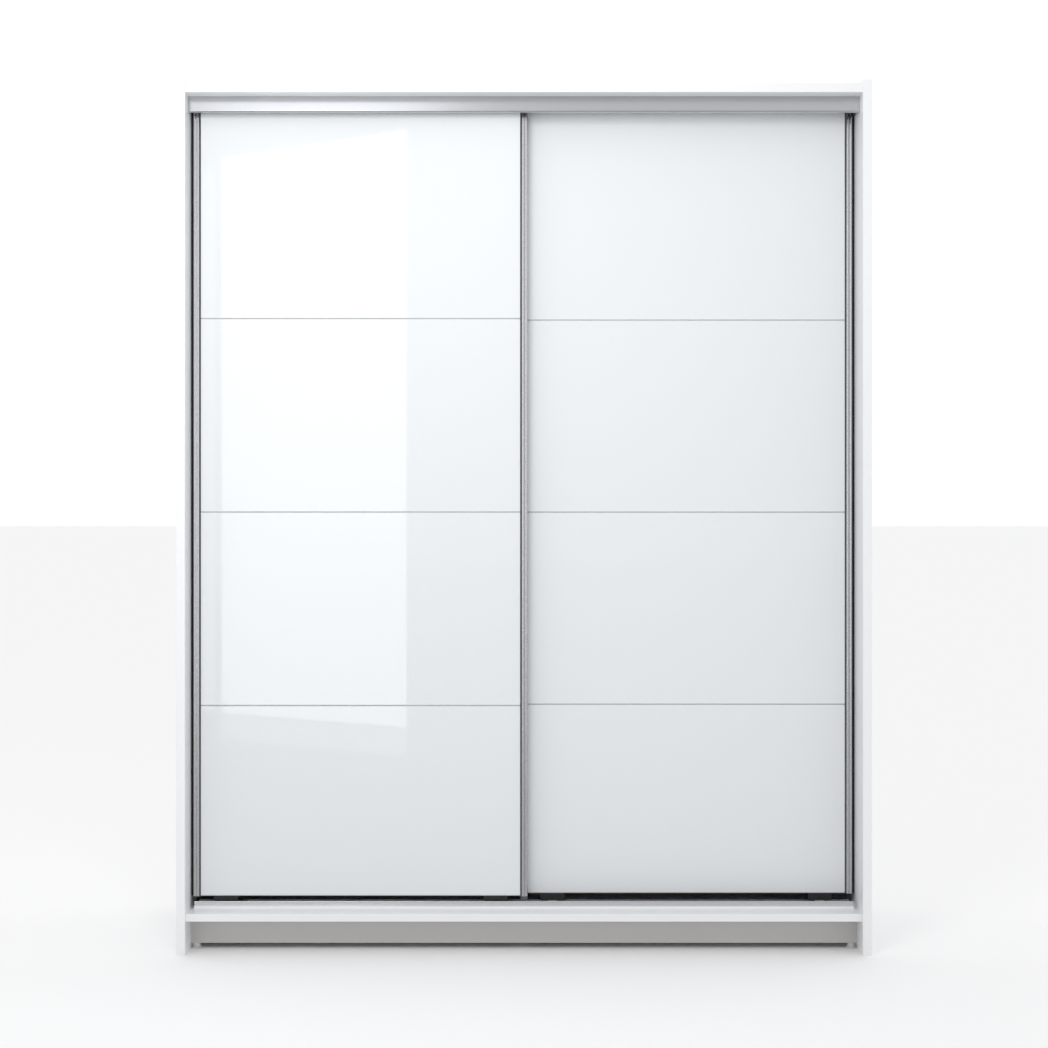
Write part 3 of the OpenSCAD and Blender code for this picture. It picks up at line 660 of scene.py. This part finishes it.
for side in door_sides:
    for number in range(1, panes_per_door + 1):
        node = f"door_{side}_glass_{number}"
        low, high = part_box(node)
        rings = [(arris, low.y), (0.0, low.y + arris), (0.0, high.y - arris), (arris, high.y)]
        loops = []
        for inset, depth in rings:
            outline = pane_outline(low, high, inset)
            loops.append(np.stack([outline[:, 0], np.full(len(outline), depth), outline[:, 1]], axis=1))
        count = len(loops[0])
        points = np.concatenate(loops)
        walls = wrapped_grid(len(rings), count, False)
        caps = [list(range(count)), list(range(len(points) - count, len(points)))]
        make_piece(f"door_{side}_pane_{number}", f"door_{side}", [node], points, walls + caps,
                   [painted_glass, ground_edge], [1] * len(walls) + [0, 0])

# ---------------------------------------------------------------- brush seals
# Black polypropylene pile woven on a flat backing: one strip closes the gap to the side panel and, on the
# front door, one wipes the rear door.
pile, tree, shader = new_material("black_pile")
vary(tree, shader.inputs["Base Color"], 1500.0, (0.008, 0.008, 0.008), (0.022, 0.022, 0.023))
vary(tree, shader.inputs["Roughness"], 900.0, 0.8, 0.95)
tuft_pitch = 1.6 * mm
fringe = 0.5 * mm
strip_sides = 12
uneven_tips = np.random.RandomState(31)
for side in door_sides:
    parts = []
    for solid in solids_of(f"door_{side}_brush_seals"):
        low, high = solid.min(axis=0), solid.max(axis=0)
        turns = np.linspace(0.0, 2 * math.pi, strip_sides, endpoint=False)[None, :]
        level = np.linspace(low[2], high[2], int((high[2] - low[2]) / tuft_pitch))[:, None]
        middle, half = (low + high) / 2, (high - low) / 2
        trim = 1.0 - fringe * uneven_tips.rand(len(level), strip_sides) / half[0]
        square = np.maximum(np.abs(np.cos(turns)), np.abs(np.sin(turns)))
        x = middle[0] + half[0] * np.cos(turns) / square * trim
        y = middle[1] + half[1] * np.sin(turns) / square * trim
        points = np.stack([x, y, np.broadcast_to(level, x.shape)], axis=-1).reshape(-1, 3)
        rows = wrapped_grid(len(level), strip_sides, False)
        ends = [list(range(strip_sides)), list(range(len(points) - strip_sides, len(points)))]
        parts.append((points, rows + ends))
    points, faces = gather(parts)
    make_piece(f"door_{side}_pile_strips", f"door_{side}", [f"door_{side}_brush_seals"],
               points, faces, [pile], smooth=False)

# ---------------------------------------------------------------- guides, housings, axles and wheels
# Black nylon guides run in the top track. Below, forked black nylon blocks hold grooved white wheels that
# turn on steel axles, each wheel moulded round a small ball bearing. The blocks are darker than moulded nylon
# and the axles near-black: painted shade, so the gap under the doors reads dark.
# The blocks' near-black nylon is partly their own colour and partly painted shade of the gap under the doors.
black_nylon, tree, shader = new_material("black_nylon")
shader.inputs["IOR"].default_value = 1.5
vary(tree, shader.inputs["Base Color"], 150.0, (0.012, 0.012, 0.013), (0.018, 0.018, 0.019))
vary(tree, shader.inputs["Roughness"], 300.0, 0.5, 0.62)
add_bump(tree, shader, 1100.0, 0.03 * mm, 0.3)
# Axle steel painted near-black: painted shade of the gap under the doors.
axle_shade_black, tree, shader = new_material("black_steel")
shader.inputs["Metallic"].default_value = 1.0
vary(tree, shader.inputs["Base Color"], 260.0, (0.03, 0.03, 0.033), (0.05, 0.05, 0.054))
vary(tree, shader.inputs["Roughness"], 420.0, 0.4, 0.5)
add_bump(tree, shader, 1300.0, 0.02 * mm, 0.3)
white_nylon, tree, shader = new_material("white_nylon")
shader.inputs["IOR"].default_value = 1.52
vary(tree, shader.inputs["Base Color"], 150.0, (0.76, 0.76, 0.73), (0.82, 0.82, 0.79))
vary(tree, shader.inputs["Roughness"], 300.0, 0.3, 0.42)
add_bump(tree, shader, 1100.0, 0.02 * mm, 0.25)

spokes = 6
bearing_r = 6.0 * mm
bore_r = 2.6 * mm
groove_deep = 2.0 * mm
tread_half = 1.9 * mm
flange_half = 2.3 * mm
rim_chamfer = 0.4 * mm
pocket_deep = 0.9 * mm
pocket_from, pocket_to = 7.0 * mm, 11.0 * mm
race_inset = 0.6 * mm
race_groove = 0.9 * mm
wheel_sides = 72
race_sides = 48


def web_pockets(r, h, angle):
    """Pockets between the spokes: the side faces sink, most of all midway between bearing and rim, where a
    cosine wave round the wheel rises."""
    ring = np.clip(np.minimum(r - pocket_from, pocket_to - r) / (1.0 * mm), 0.0, 1.0)
    lobe = np.clip(2.0 * np.cos(spokes * angle) + 0.6, 0.0, 1.0)
    return 0.0 * r, -np.sign(h) * pocket_deep * ring * lobe


for side in door_sides:
    for end in ("outer", "inner"):
        node = f"door_{side}_{end}_wheel"
        low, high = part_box(node)
        centre = np.array([(low.x + high.x) / 2, (low.y + high.y) / 2, (low.z + high.z) / 2])
        rim_r = (high.x - low.x) / 2
        half = (high.y - low.y) / 2
        groove_r = rim_r - groove_deep
        face_radii = np.linspace(bearing_r + 0.6 * mm, rim_r - 0.9 * mm, 9)
        upper = [(r, half - 0.15 * mm) for r in face_radii]
        rim = [(rim_r - rim_chamfer, half), (rim_r, half - rim_chamfer), (rim_r, flange_half),
               (groove_r, tread_half), (groove_r, -tread_half), (rim_r, -flange_half),
               (rim_r, -half + rim_chamfer), (rim_r - rim_chamfer, -half)]
        lower = [(r, -half + 0.15 * mm) for r in face_radii[::-1]]
        hub = [(bearing_r, -half + 0.5 * mm), (bearing_r, half - 0.5 * mm)]
        tyre_points, tyre_faces = turned(upper + rim + lower + hub, wheel_sides, web_pockets)
        race = [(bore_r, half - race_inset), (3.6 * mm, half - race_inset), (3.8 * mm, half - race_groove),
                (4.8 * mm, half - race_groove), (5.0 * mm, half - race_inset), (bearing_r, half - race_inset)]
        mirrored_race = [(r, -h) for r, h in race[::-1]]
        race_points, race_faces = turned(race + mirrored_race, race_sides)
        points, faces = gather([(tyre_points, tyre_faces), (race_points, race_faces)])
        points = set_along(points, np.zeros(3), np.array([0.0, 1.0, 0.0])) + centre
        make_piece(f"door_{side}_{end}_grooved_wheel", node, [node], points, faces,
                   [white_nylon, zinc], [0] * len(tyre_faces) + [1] * len(race_faces))
    # Housings and axles take near-black tones as painted shade of the gap under the doors.
    paint(black_nylon, f"door_{side}_top_guides", f"door_{side}_roller_housings")
    paint(axle_shade_black, f"door_{side}_roller_axles")
